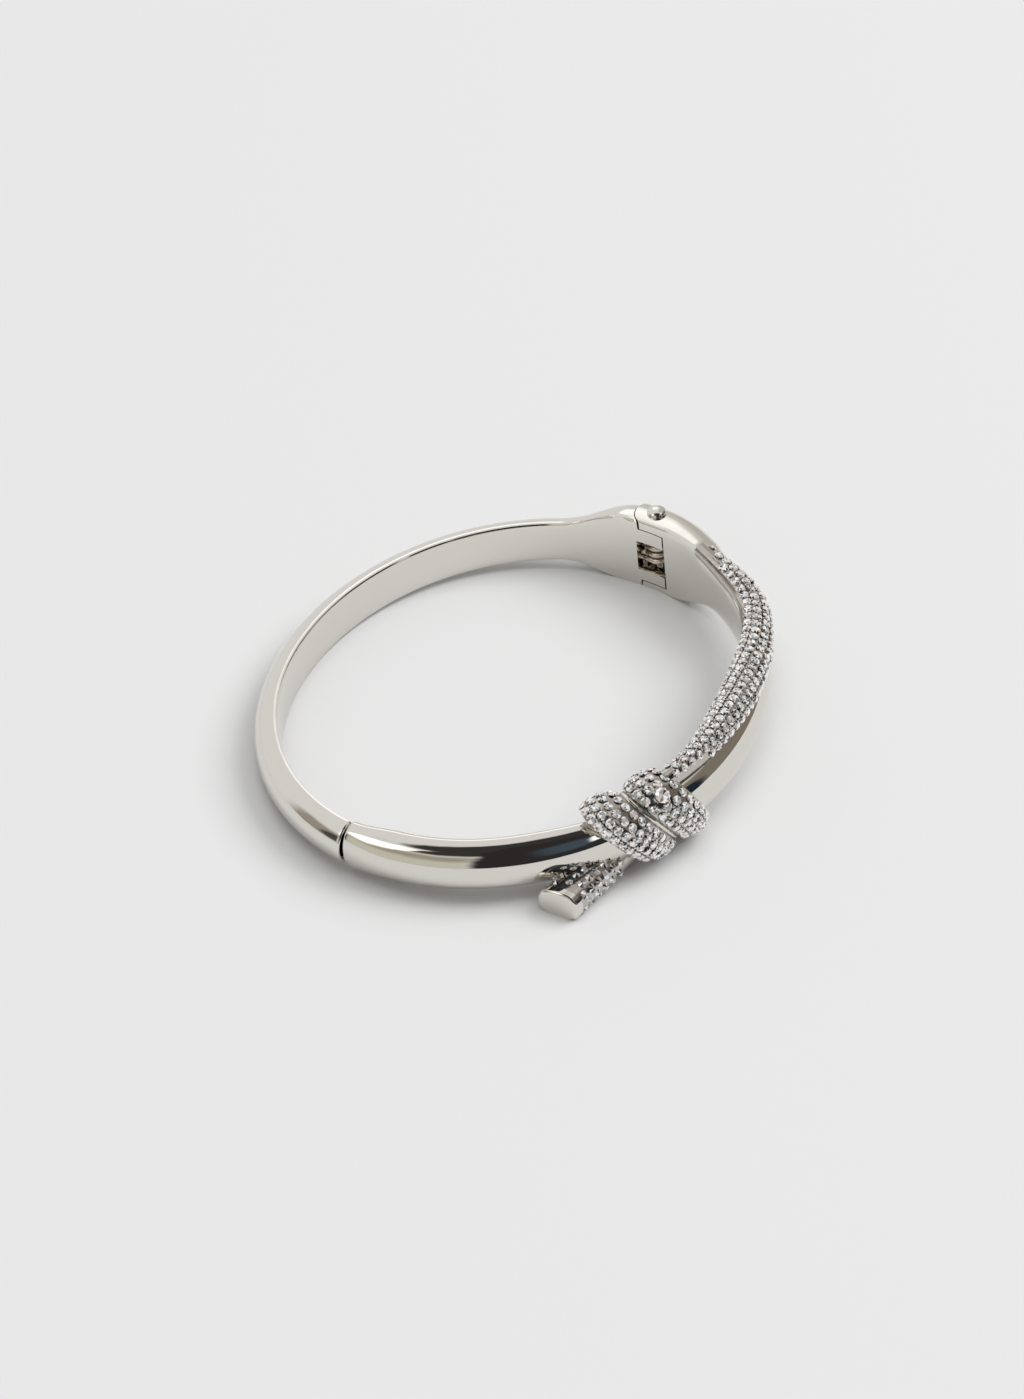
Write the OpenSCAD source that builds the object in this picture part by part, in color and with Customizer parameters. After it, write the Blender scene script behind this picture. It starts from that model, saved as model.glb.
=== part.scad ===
// Hinged bangle with a knot of stone-set strands.
//
// The inside of the bangle is an oval lying flat: +X points to the hinge, -X to the seam,
// +Y to the plain rear band, -Y to the knot, and +Z is the bangle's upper side.
// A place on the bangle is (t, r, z): t is the angle round the oval in degrees, counted
// from the hinge (0 hinge, 90 rear, 180 seam, -90 front), r is how far it lies outside the
// inner oval, and z is its height. The front half runs from t = 0 down to t = -180.

/* [Inside oval] */
// inside, from the middle to the hinge or the seam
oval_a = 29; // [24:0.5:36]
// inside, from the middle to the front or the rear
oval_b = 26; // [21:0.5:33]

/* [Rear band] */
// half of the height of the rear band
rear_half_h = 2.8; // [2:0.1:3.6]
// thickness of the rear band
rear_thick = 3; // [2:0.1:4]

/* [Front tube] */
// half of the height of the polished front tube
tube_half_h = 3.15; // [2.4:0.05:3.8]
// thickness of the polished front tube
tube_thick = 3.2; // [2.6:0.1:4.2]
// depth of the rounding on the tube's inner side
tube_back = 1; // [0.4:0.1:1.6]
// how far the tube is pressed inwards between the seam and the knot
tube_press = 0.5; // [0:0.1:1]
// how much thicker the tube grows, on its inner side, between the seam and the knot
tube_belly = 0.8; // [0:0.1:1.2]

/* [Seam] */
// gap between the two halves where the bangle opens
seam_gap = 0.3; // [0.1:0.05:0.6]
// rounding of the end of each half
seam_round = 0.3; // [0.1:0.05:0.6]

/* [Hinge] */
// half of the height of both halves at the hinge
leaf_half_h = 5.1; // [4.4:0.1:6]
// thickness of both halves at the hinge
leaf_thick = 4.7; // [4.2:0.1:4.9]
// how far the front half stands over the rear half at the hinge
front_rise = 0.1; // [0:0.05:0.4]
// drop of the front leaf's top just before the strand starts
leaf_step = 0.5; // [0.2:0.05:0.8]
// hinge pin radius
pin_r = 0.8; // [0.5:0.05:1]
// distance of the pin's axis outside the inner oval
pin_in = 2.3; // [2:0.1:2.6]
// distance of the pin's axis from the front leaf's end
pin_ahead = 2.5; // [2.3:0.1:3]
// radius of the pin's domed head
head_r = 1.17; // [1:0.05:1.5]
// height of the pin's domed head
head_h = 0.6; // [0.3:0.05:1]
// thickness of the front leaf's upper ear
upper_ear = 1.2; // [0.8:0.1:1.6]
// thickness of the front leaf's lower ear
lower_ear = 1.0; // [0.8:0.1:1.6]
// height of the rear half's upper finger
upper_finger = 1.9; // [1.2:0.1:2.2]
// height of the rear half's lower finger
lower_finger = 1.6; // [1.4:0.1:2.4]
// running clearance round the pin in the fingers
pin_clear = 0.05; // [0.02:0.01:0.1]
// gap between a finger and an ear
finger_gap = 0.12; // [0.05:0.01:0.3]
// gap between rounded ear ends and the rear half
ear_gap = 0.15; // [0.05:0.01:0.3]

/* [Closing spring] */
// radius of the spring wire
wire_r = 0.38; // [0.25:0.01:0.42]
// radius of the spring coil, to the middle of the wire
coil_r = 1.25; // [1.2:0.05:1.5]
// full turns of the coil
coil_turns = 3; // [2:1:4]
// distance between two turns of the coil
coil_pitch = 0.95; // [0.8:0.05:1.2]
// clearance round the coil and its rear leg
coil_clear = 0.15; // [0.05:0.01:0.3]

/* [Stone-set strand] */
// half of the width of the strand
strand_half_w = 2.0; // [1.6:0.1:2.4]
// half of the width of the strand where it goes under the knot
strand_end_w = 1.15; // [1:0.05:2]
// how far the strand's crown stands from its middle line
strand_rise = 1.6; // [1.2:0.1:2]
// angle where the strand leaves the front leaf
strand_from = 14; // [12:1:20]
// angle where the strand ends under the knot
strand_to = 101; // [96:1:104]

/* [Knot] */
// angle of the middle of the right wrap, on the bangle's upper side
right_wrap_t = 104.5; // [100:0.5:108]
// angle of the middle of the left wrap, on the bangle's upper side
left_wrap_t = 116.5; // [114:0.5:122]
// half of the width of each wrap
wrap_half_w = 2.75; // [2.2:0.05:3]
// height of a wrap's crown over its rims
wrap_dome = 0.85; // [0.4:0.05:1.2]
// thickness of a wrap at its rims
wrap_wall = 1.1; // [0.8:0.1:1.6]
// room between the tube and the wraps, inside and outside the bangle
wrap_room = 0.45; // [0:0.05:0.8]
// room between the tube and the wraps, above and below
wrap_over = 0.15; // [0:0.05:0.6]
// lean of the knot, in degrees of t per mm of height
wrap_lean = 1.15; // [0:0.05:1.4]
// how much more a wrap leans for each degree of t away from the saddle
lean_fan = 0.02; // [0:0.005:0.03]

/* [Tail] */
// half of the width of the tail
tail_half_w = 2.55; // [1.6:0.05:2.6]
// half of the height of the tail
tail_half_h = 1.95; // [1.5:0.05:2.2]
// slope of the cut end
tail_cut = 11; // [0:1:40]
// length of the polished end cap
cap_len = 1.0; // [0.6:0.1:2.4]

/* [Stones] */
// girdle diameter of the small stones
stone_d = 1.16; // [0.9:0.02:1.24]
// distance between two neighbouring stones of a row
stone_pitch = 1.3; // [1.26:0.02:1.6]
// girdle diameter of the one large stone on the right wrap
accent_d = 1.9; // [1.6:0.05:2.2]
// height of the stones' girdles over the metal they are set in
stone_lift = 0.12; // [0.05:0.01:0.2]

/* [Hidden] */
$fn = 48;

silver = "#c9c9cb";
steel = "#b58f74";
clear = "#e8f0f6";

// where the pin stands, and the levels of the ears, the fingers and the window
pin_x = oval_a + pin_in;
leaf_wall_y = -0.5;
pin_y = leaf_wall_y + pin_ahead;
ear_r = pin_ahead + 0.1;
finger_r = pin_ahead - 0.25;
front_top_z = leaf_half_h + front_rise;
upper_ear_z = front_top_z - upper_ear;
lower_ear_z = -leaf_half_h + lower_ear;
finger_top_z = upper_ear_z - finger_gap;
window_top_z = finger_top_z - upper_finger;
finger_low_z = lower_ear_z + finger_gap;
window_low_z = finger_low_z + lower_finger;
// the coils' middle line, which keeps clear of a thicker pin
coil_mid_r = max(coil_r, pin_r + wire_r + pin_clear);
window_r = coil_mid_r + wire_r + coil_clear;
window_y = pin_y + 0.8 * window_r;
cut = 0.5;
big = 4 * leaf_thick;

// ---- curves ----

function ease(x, a, b) = let (s = min(1, max(0, (x - a) / (b - a)))) s * s * (3 - 2 * s);
function spow(v, e) = sign(v) * pow(abs(v), e);
function unit(v) = v / norm(v);

// the inner oval, its outward direction, and mm per degree along it
function oval(t) = [oval_a * cos(t), oval_b * sin(t)];
function outward(t) = unit([oval_b * cos(t), oval_a * sin(t)]);
function pace(t) = norm([oval_a * sin(t), oval_b * cos(t)]) * PI / 180;
function place(t, r, z) = let (p = oval(t) + r * outward(t)) [p[0], p[1], z];

// a rounded section: a superellipse with its own depth and squareness inside and outside
section_n = 24;
function section(inside, outside, half_h, square_in, square_out) = [
  for (i = [0:section_n - 1])
    let (f = 360 * i / section_n, out = cos(f) > 0, e = 2 / (out ? square_out : square_in))
    [(out ? outside : inside) * spow(cos(f), e), half_h * spow(sin(f), e)]
];

// a solid skinned over rings of points, open with two flat ends, or closed on itself; flip
// turns its faces outwards when the rings run the other way round
module loft(rings, closed = false, flip = false) {
  n = len(rings[0]);
  m = len(rings);
  last = closed ? m - 1 : m - 2;
  walls = [
    for (j = [0:last], i = [0:n - 1])
      let (a = j * n + i, b = j * n + (i + 1) % n, c = ((j + 1) % m) * n + i,
           d = ((j + 1) % m) * n + (i + 1) % n)
      each [[a, b, d], [a, d, c]]
  ];
  ends = closed ? [] : [
    for (i = [1:n - 2])
      each [[0, i + 1, i], [(m - 1) * n, (m - 1) * n + i, (m - 1) * n + i + 1]]
  ];
  faces = [for (face = concat(walls, ends)) flip ? [face[2], face[1], face[0]] : face];
  polyhedron([for (ring = rings) each ring], faces, convexity = 8);
}

// ---- rear half ----

function rear_height(t) = rear_half_h + (leaf_half_h - rear_half_h) * (1 - ease(t, 11, 29));
function rear_bulk(t) = 1 - ease(t, 4, 24);
function rear_ring(t, inset = 0) =
  let (g = rear_bulk(t), thick = rear_thick + (leaf_thick - rear_thick) * g - inset)
  [for (p = section(0, thick, rear_height(t) - inset, 2, 2 + 2.6 * g)) place(t, p[0], p[1])];

seam_deg = seam_gap / 2 / pace(180);
round_deg = seam_round / pace(180);
rear_start = -3;
rear_end = 180 - seam_deg;
rear_rings = concat(
  [for (i = [0:11]) rear_ring(rear_start + i * 33 / 11)],
  [for (i = [1:38]) rear_ring(30 + i * (rear_end - round_deg - 30) / 38)],
  [rear_ring(rear_end - 0.35 * round_deg, 0.3 * seam_round), rear_ring(rear_end, seam_round)]);

// planform of a finger: a barrel round the pin, squared on the inside of the bangle
module finger_room() {
  difference() {
    translate([-big, -big]) square([2 * big, big]);
    circle(r = finger_r);
    translate([-big, 0.2 - pin_ahead]) square([big, pin_ahead]);
  }
}

// room for the front half's rounded ear end
module ear_room() {
  translate([-big, -big]) square([2 * big, big]);
  circle(r = ear_r + ear_gap);
}

module rear_half() {
  color(silver)
    difference() {
      loft(rear_rings);
      translate([pin_x, pin_y, finger_top_z]) linear_extrude(big) ear_room();
      translate([pin_x, pin_y, finger_low_z - big]) linear_extrude(big) ear_room();
      translate([pin_x, pin_y, finger_low_z - cut])
        linear_extrude(finger_top_z - finger_low_z + 2 * cut) finger_room();
      translate([pin_x - big, pin_y - big, window_low_z])
        cube([2 * big, big + window_y - pin_y, window_top_z - window_low_z]);
      translate([pin_x, pin_y, window_low_z])
        cylinder(r = window_r, h = window_top_z - window_low_z);
      translate([pin_x, pin_y, -leaf_half_h - cut])
        cylinder(r = pin_r + pin_clear, h = 2 * leaf_half_h + 2 * cut);
      translate([pin_x - coil_mid_r, pin_y, coil_low_z])
        rotate([-90, 0, 0]) cylinder(r = wire_r + coil_clear, h = rear_leg + coil_clear);
    }
}

// ---- front half ----

function front_top(t) =
  tube_half_h + (front_top_z - tube_half_h) * (1 - ease(-t, 13, 40))
  - leaf_step * ease(-t, 12, 16.5) * (1 - ease(-t, 20, 38));
function front_low(t) = -tube_half_h - (leaf_half_h - tube_half_h) * (1 - ease(-t, 2, 17));
function belly(t) = tube_belly * ease(-t, 108, 135) * (1 - ease(-t, 167, 180));
function front_thick(t) =
  tube_thick + belly(t) + (leaf_thick - tube_thick) * (1 - ease(-t, -2, 27));
function front_inside(t) = tube_back * ease(-t, 6, 20);
function pressed(t) = -tube_press * ease(-t, 100, 140) - belly(t);
function front_ring(t, inset = 0) =
  let (mid_r = front_inside(t) + pressed(t),
       mid_z = (front_top(t) + front_low(t)) / 2,
       square_out = 2.2 + 2.6 * (1 - ease(-t, -4, 26)))
  [for (p = section(max(0, front_inside(t) - inset), front_thick(t) - front_inside(t) - inset,
                    (front_top(t) - front_low(t)) / 2 - inset, 2.8, square_out))
    place(t, mid_r + p[0], mid_z + p[1])];

front_start = 13;
front_end = 180 - seam_deg;
front_rings = concat(
  [for (i = [0:20]) front_ring(front_start - i * (front_start + 47) / 20)],
  [for (i = [1:48]) front_ring(-47 - i * (front_end - round_deg - 47) / 48)],
  [front_ring(-front_end + 0.35 * round_deg, 0.3 * seam_round),
   front_ring(-front_end, seam_round)]);

module front_band() {
  color(silver)
    difference() {
      loft([for (i = [len(front_rings) - 1:-1:0]) front_rings[i]]);
      // the gap between the ears, back to the leaf's end wall
      translate([pin_x - big, leaf_wall_y, lower_ear_z])
        cube([2 * big, big, upper_ear_z - lower_ear_z]);
      // the ears end in an arc round the pin
      translate([pin_x, pin_y, -big]) linear_extrude(2 * big)
        difference() {
          translate([-big, 0]) square([2 * big, big]);
          circle(r = ear_r);
        }
      translate([pin_x, pin_y, -leaf_half_h - cut])
        cylinder(r = pin_r, h = leaf_half_h + front_top_z + 2 * cut);
      // hole that holds the spring's front leg
      translate([pin_x - coil_mid_r, leaf_wall_y + cut, coil_low_z + coil_turns * coil_pitch])
        rotate([90, 0, 0]) cylinder(r = wire_r, h = front_leg - pin_ahead + cut);
    }
}

// ---- hinge pin and spring ----

module hinge_pin() {
  color(silver)
    translate([pin_x, pin_y, 0])
      rotate_extrude()
        polygon(concat(
          [[0, -leaf_half_h], [pin_r, -leaf_half_h], [pin_r, front_top_z]],
          [for (g = [0:15:90]) [head_r * spow(cos(g), 0.7), front_top_z + head_h * spow(sin(g), 0.8)]]));
}

coil_low_z = window_top_z - coil_clear - wire_r - coil_turns * coil_pitch;
rear_leg = window_y - pin_y + 1.2;
front_leg = pin_ahead + 1.2;
wire_n = 8;
coil_steps = 16;

function wire_ring(f, ahead, z) = [
  for (i = [0:wire_n - 1])
    let (q = 360 * i / wire_n, r = coil_mid_r + wire_r * cos(q))
    [pin_x + r * cos(f), pin_y + r * sin(f) + ahead, z + wire_r * sin(q)]
];

module hinge_spring() {
  turn_n = coil_turns * coil_steps;
  top_z = coil_low_z + coil_turns * coil_pitch;
  color(steel)
    loft(concat(
      [wire_ring(180, rear_leg, coil_low_z)],
      [for (i = [0:turn_n])
        wire_ring(180 + i * 360 / coil_steps, 0, coil_low_z + i * coil_pitch / coil_steps)],
      [wire_ring(180, -front_leg, top_z)]));
}

// ---- stone-set strand ----

// middle of the strand, and how far its crown leans back from the outward direction
function strand_r(t) =
  0.55 + 2.0 * (1 - ease(t, 25, 66)) - 1.8 * (1 - ease(t, 14, 36)) + 0.3 * ease(t, 76, 96);
function strand_z(t) = 2.4 + 1.5 * ease(t, 38, 80) + 2.5 * (1 - ease(t, 12, 36));
function strand_w(t) =
  strand_half_w * (0.6 + 0.4 * ease(t, 13, 30)) - (strand_half_w - strand_end_w) * ease(t, 66, 100);
function strand_tilt(t) = 38 + 40 * ease(t, 35, 75);
function strand_point(t, f) =
  let (u = strand_rise * cos(f) * (0.6 + 0.4 * ease(t, 13, 32)),
       v = strand_w(t) * sin(f), g = strand_tilt(t))
  place(-t, strand_r(t) + u * cos(g) - v * sin(g), strand_z(t) + u * sin(g) + v * cos(g));

strand_n = 18;
module pave_strand() {
  steps = 34;
  color(silver)
    loft([for (j = [0:steps])
      let (t = strand_from + j * (strand_to - strand_from) / steps)
      [for (i = [0:strand_n - 1]) strand_point(t, 360 * i / strand_n)]], flip = true);
}

// ---- knot ----

// a wrap's rim line is an oval round the tube; a point on it lies at the angle f round the
// tube, s mm along the bangle and h mm out from the rim line
wrap_mid_r = tube_thick / 2 - tube_press - wrap_room;
wrap_mid_z = 0.25;
wrap_rim_r = tube_thick / 2 + wrap_wall + wrap_room;
wrap_rim_z = tube_half_h + wrap_wall + wrap_over;
function lean_at(t) = wrap_lean + lean_fan * (t - saddle_t);
function wrap_point(t, f, s, h) =
  let (n = unit([cos(f) / wrap_rim_r, sin(f) / wrap_rim_z]),
       z = wrap_mid_z + wrap_rim_z * sin(f) + h * n[1],
       r = wrap_mid_r + wrap_rim_r * cos(f) + h * n[0])
  place(-t + s / pace(t) + lean_at(t - s / pace(t)) * (wrap_mid_z + wrap_rim_z - z), r, z);
function crown(s, half_w) = wrap_dome * (1 - pow(s / half_w, 2));

wrap_turn_n = 36;
module wrap(t, half_w, rise = 1) {
  across = 8;
  color(silver)
    loft([for (j = [0:wrap_turn_n - 1])
      let (f = 360 * j / wrap_turn_n)
      concat(
        [for (i = [0:across])
          let (s = half_w * (2 * i / across - 1))
          wrap_point(t, f, s, rise * crown(s, half_w))],
        [wrap_point(t, f, half_w, -wrap_wall), wrap_point(t, f, -half_w, -wrap_wall)])],
      closed = true, flip = true);
}

module right_wrap() { wrap(right_wrap_t, wrap_half_w); }
module left_wrap() { wrap(left_wrap_t, wrap_half_w); }
saddle_t = (right_wrap_t + left_wrap_t) / 2;
saddle_lap = 0.15;
saddle_rise = 0.2;
saddle_half_w = (left_wrap_t - right_wrap_t) / 2 * pace(saddle_t) - wrap_half_w + saddle_lap;
module knot_saddle() { wrap(saddle_t, saddle_half_w, saddle_rise); }

// ---- tail ----

// the tail is straight: it starts inside the left wrap and leaves the tube outwards
tail_from = place(-right_wrap_t - 7.5, -0.2, -leaf_half_h + tail_half_h + 0.25);
tail_to = place(-right_wrap_t - 27, 5.4, -leaf_half_h + tail_half_h);
tail_len = norm(tail_to - tail_from);
tail_ahead = (tail_to - tail_from) / tail_len;
tail_out = unit([-tail_ahead[1], tail_ahead[0], 0]);
function tail_point(x, f, inset = 0, cut_deg = 0) =
  let (w = (tail_half_w - inset) * spow(cos(f), 0.8), h = (tail_half_h - inset) * spow(sin(f), 0.8))
  tail_from + tail_ahead * (x - w * tan(cut_deg)) + tail_out * w + [0, 0, h];
tail_n = 20;
function tail_ring(x, inset = 0, cut_deg = 0) =
  [for (i = [0:tail_n - 1]) tail_point(x, 360 * i / tail_n, inset, cut_deg)];
cap_round = 0.35;
// the strand of the tail is set in from the cap's outline by this much
tail_inset = 0.15;

module tail_strand() {
  steps = 8;
  color(silver)
    loft([for (j = [0:steps])
      tail_ring(j * (tail_len - cap_len) / steps, tail_inset, tail_cut * ease(j, 0, steps))],
      flip = true);
}

module tail_cap() {
  color(silver)
    loft([
      tail_ring(tail_len - cap_len, 0, tail_cut),
      tail_ring(tail_len - cap_round, 0, tail_cut),
      tail_ring(tail_len - 0.3 * cap_round, 0.3 * cap_round, tail_cut),
      tail_ring(tail_len, cap_round, tail_cut)], flip = true);
}

// ---- stones ----

// a round stone: table, crown, girdle and pavilion, its girdle at z = 0
module stone(d) {
  rotate_extrude($fn = 24)
    polygon([[0, -0.36 * d], [0.5 * d, -0.02 * d], [0.5 * d, 0.02 * d],
             [0.29 * d, 0.16 * d], [0, 0.16 * d]]);
}

// sets a stone at p with its table facing along n
module seat(p, n, d) {
  translate(p + stone_lift * n)
    rotate([0, acos(n[2]), atan2(n[1], n[0])]) stone(d);
}

// outward direction of a skin at (u, v), from two short steps on it
function facing(skin, u, v) =
  let (e = 0.05, du = skin(u + e, v) - skin(u - e, v),
       dv = skin(u, v + e) - skin(u, v - e))
  unit(cross(du, dv));
function stride(skin, u, v) = norm(skin(u + 0.05, v) - skin(u - 0.05, v)) / 0.1;

// stations from u to u_end, one stone pitch apart along the skin, up or down
function stations(skin, u, u_end, v, pitch) =
  (u_end - u) * pitch < 0 ? []
  : concat([u], stations(skin, u + pitch / stride(skin, u, v), u_end, v, pitch));

// the size of a row's stones along it: even unless a row gives its own
even = function (u) stone_d;
// a row of stones at v; every second row is moved on by half a pitch
module stone_row(skin, u_from, u_to, v, shifted, side = 1, size = even, march = 0) {
  start = u_from + (shifted ? 0.5 * stone_pitch / stride(skin, u_from, 0) : 0);
  color(clear)
    for (u = stations(skin, start, u_to, march, stone_pitch))
      seat(skin(u, v), side * facing(skin, u, v), size(u));
}

strand_skin = function (t, f) strand_point(t, f);
// the strand's stones are graded: smaller where its rows run closer together
row_fill = 0.96;
strand_row_deg = 36;
graded = function (t)
  let (apart = norm(strand_point(t, strand_row_deg) - strand_point(t, 0)))
  min(stone_d, row_fill * norm([apart, 0.5 * stone_pitch]));
// degrees left bare at the strand's two ends; the outer rows stop well before the knot
strand_bare_from = 2;
strand_bare_to = [2.2, 2.2, 13];
module strand_row(k) {
  from_end = abs(k - 2);
  first = strand_from + strand_bare_from;
  row_pitch = stone_pitch / stride(strand_skin, first, 0);
  start = first + (from_end == 2 ? 3 * row_pitch : from_end * row_pitch);
  stop = strand_to - strand_bare_to[from_end];
  stone_row(strand_skin, start, stop, strand_row_deg * (k - 2), k % 2 == 1, -1, graded);
}
module strand_stones_row_1() { strand_row(0); }
module strand_stones_row_2() { strand_row(1); }
module strand_stones_row_3() { strand_row(2); }
module strand_stones_row_4() { strand_row(3); }
module strand_stones_row_5() { strand_row(4); }

// a wrap's rows run round it, from its lower outer side over the top to the inside
wrap_row_gap = 1.28;
wrap_rows_from = -72;
wrap_rows_to = 168;
function wrap_skin(t) =
  function (f, s) wrap_point(t, f, s, crown(s, wrap_half_w));
module wrap_row(t, k) {
  s = wrap_row_gap * (k - 1.5);
  stone_row(wrap_skin(t), wrap_rows_from, wrap_rows_to, s, k % 2 == 1, -1, march = s);
}
module left_wrap_stones_row_1() { wrap_row(left_wrap_t, 0); }
module left_wrap_stones_row_2() { wrap_row(left_wrap_t, 1); }
module left_wrap_stones_row_3() { wrap_row(left_wrap_t, 2); }
module left_wrap_stones_row_4() { wrap_row(left_wrap_t, 3); }

// the right wrap's rows part round the large stone: its two middle rows start beside it
accent_f = 57;
accent_s = 0;
accent_gap = 0.04;
module right_row(k) {
  skin = wrap_skin(right_wrap_t);
  s = wrap_row_gap * (k - 1.5);
  reach = (stone_d + accent_d) / 2 + accent_gap;
  parted = abs(s) < reach;
  beside = parted ? sqrt(reach * reach - s * s) : 0.25 * stone_pitch;
  step = beside / stride(skin, accent_f, s);
  down_from = accent_f + (parted ? -step : step);
  color(clear) {
    for (f = stations(skin, accent_f + step, wrap_rows_to, s, stone_pitch))
      seat(skin(f, s), -facing(skin, f, s), stone_d);
    for (f = stations(skin, down_from, wrap_rows_from, s, -stone_pitch))
      if (parted || f < accent_f) seat(skin(f, s), -facing(skin, f, s), stone_d);
  }
}
module right_wrap_stones_row_1() { right_row(0); }
module right_wrap_stones_row_2() { right_row(1); }
module right_wrap_stones_row_3() { right_row(2); }
module right_wrap_stones_row_4() { right_row(3); }
module accent_stone() {
  skin = wrap_skin(right_wrap_t);
  color(clear)
    seat(skin(accent_f, accent_s), -facing(skin, accent_f, accent_s), accent_d);
}

tail_skin = function (x, f) tail_point(x, f, tail_inset, 0);
// from the lower outer side over the top to the inner side
tail_row_from = 2.9;
cap_room = 0.62 * stone_d;
module tail_row(k) {
  f = [-36, -2, 27, 62, 90, 118, 151][k];
  slant = tail_half_w * cos(f) * tan(tail_cut);
  stop = tail_len - cap_len - cap_room - slant;
  stone_row(tail_skin, tail_row_from, stop, f, k % 2 == 1);
}
module tail_stones_row_1() { tail_row(0); }
module tail_stones_row_2() { tail_row(1); }
module tail_stones_row_3() { tail_row(2); }
module tail_stones_row_4() { tail_row(3); }
module tail_stones_row_5() { tail_row(4); }
module tail_stones_row_6() { tail_row(5); }
module tail_stones_row_7() { tail_row(6); }

// ---- build ----

rear_half();
front_band();
hinge_pin();
hinge_spring();
pave_strand();
right_wrap();
left_wrap();
knot_saddle();
tail_strand();
tail_cap();
accent_stone();
strand_stones_row_1();
strand_stones_row_2();
strand_stones_row_3();
strand_stones_row_4();
strand_stones_row_5();
right_wrap_stones_row_1();
right_wrap_stones_row_2();
right_wrap_stones_row_3();
right_wrap_stones_row_4();
left_wrap_stones_row_1();
left_wrap_stones_row_2();
left_wrap_stones_row_3();
left_wrap_stones_row_4();
tail_stones_row_1();
tail_stones_row_2();
tail_stones_row_3();
tail_stones_row_4();
tail_stones_row_5();
tail_stones_row_6();
tail_stones_row_7();
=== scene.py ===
# %% [markdown]
# # A hinged bangle with a stone-set knot
#
# This lesson dresses a bangle for its portrait. The bangle is a cast oval band in two halves
# that turn on a pin. A strand set with small stones crosses the front half and is tied round it
# in a knot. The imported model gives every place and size, so the first cell loads it and keeps
# its box. Lengths are in millimetres, and MM turns them to metres where a mesh is made.

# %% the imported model
import math
import bmesh
import bpy
import numpy as np
from mathutils import Matrix, Vector


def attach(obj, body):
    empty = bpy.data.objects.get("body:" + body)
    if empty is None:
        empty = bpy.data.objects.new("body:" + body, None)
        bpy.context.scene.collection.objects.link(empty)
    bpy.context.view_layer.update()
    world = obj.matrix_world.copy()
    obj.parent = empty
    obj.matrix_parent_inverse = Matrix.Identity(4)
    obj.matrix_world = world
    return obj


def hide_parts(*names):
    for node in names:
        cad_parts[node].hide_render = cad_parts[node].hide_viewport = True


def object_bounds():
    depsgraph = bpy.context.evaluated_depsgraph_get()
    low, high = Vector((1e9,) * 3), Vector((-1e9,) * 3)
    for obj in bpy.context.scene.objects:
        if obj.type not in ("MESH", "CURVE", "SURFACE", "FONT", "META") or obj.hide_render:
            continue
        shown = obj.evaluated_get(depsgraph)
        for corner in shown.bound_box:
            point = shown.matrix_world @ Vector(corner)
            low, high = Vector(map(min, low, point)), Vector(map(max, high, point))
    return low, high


MM = 0.001
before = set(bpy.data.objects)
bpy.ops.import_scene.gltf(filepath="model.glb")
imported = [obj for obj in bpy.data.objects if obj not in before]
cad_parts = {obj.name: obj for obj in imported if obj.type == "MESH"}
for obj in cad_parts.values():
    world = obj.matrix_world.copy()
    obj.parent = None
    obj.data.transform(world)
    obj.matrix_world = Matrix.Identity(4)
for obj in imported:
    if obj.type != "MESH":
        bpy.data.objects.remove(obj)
cad_low, cad_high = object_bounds()
size_mm = [round((b - a) / MM, 2) for a, b in zip(cad_low, cad_high)]
print("bangle, mm:", size_mm, "nodes:", len(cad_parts))

# %% [markdown]
# ## The camera
#
# Jewellery is taken with a long lens from well back, because a short lens makes the near side
# swell. The camera stands 600 mm away, 41 degrees above the horizon, and looks at the middle of
# the bangle. Its three directions are worked out from those two angles and a small roll, and
# they become the columns of its matrix.

# %% camera
stand_off_mm = 600
stand_az, stand_el, stand_roll = (math.radians(a) for a in (-47.93, 41.17, -6.13))
back = Vector((math.sin(stand_az) * math.cos(stand_el),
               -math.cos(stand_az) * math.cos(stand_el), math.sin(stand_el)))
level = Vector((math.cos(stand_az), math.sin(stand_az), 0))
across = math.cos(stand_roll) * level + math.sin(stand_roll) * back.cross(level)
upward = back.cross(across)
lens = bpy.data.cameras.new("lens")
lens.lens, lens.sensor_width, lens.clip_start = 132.33, 36, 0.01
lens.shift_x, lens.shift_y = -0.0005, -0.0016
camera = bpy.data.objects.new("camera", lens)
bpy.context.collection.objects.link(camera)
turn = Matrix((across, upward, back)).transposed().to_4x4()
camera.matrix_world = Matrix.Translation(back * stand_off_mm * MM) @ turn
bpy.context.scene.camera = camera
print("camera at, mm:", [round(c / MM) for c in camera.location])

# %% [markdown]
# ## Node helper and colours
#
# Materials are small graphs of nodes. One helper adds a node, sets its values and links its
# inputs. Colours are written as sRGB hex, the way a paint chart gives them, and one function
# turns them to the linear values that light is added up in.

# %% colour and node helpers
def linear(hex_code):
    parts = [int(hex_code[i:i + 2], 16) / 255 for i in (1, 3, 5)]
    return [c / 12.92 if c <= 0.04045 else ((c + 0.055) / 1.055) ** 2.4 for c in parts] + [1.0]


def add(tree, kind, **inputs):
    """Adds a node. A socket as a value is linked; anything else is set. Underscored names are
    the node's own settings."""
    node = tree.nodes.new(kind)
    for name, value in inputs.items():
        if name.startswith("_"):
            setattr(node, name[1:], value)
            continue
        socket = node.inputs[name.replace("__", " ")]
        if isinstance(value, bpy.types.NodeSocket):
            tree.links.new(value, socket)
        else:
            socket.default_value = value
    return node


def material(name):
    made = bpy.data.materials.new(name)
    made.use_nodes = True
    made.node_tree.nodes.clear()
    return made, made.node_tree


# %% [markdown]
# ## Polished rhodium plate
#
# The castings are polished on a felt wheel and plated with rhodium. The wheel leaves a mirror,
# but a hand holds the piece, so the skin waves by a few hundredths of a millimetre over some
# millimetres. That wave is what bends the dark lines in the reflections. A second, much finer
# noise varies the gloss, as wiping does. The real wipe marks are finer than a tenth of a
# millimetre; they are drawn at half a millimetre so that they show.

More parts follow.
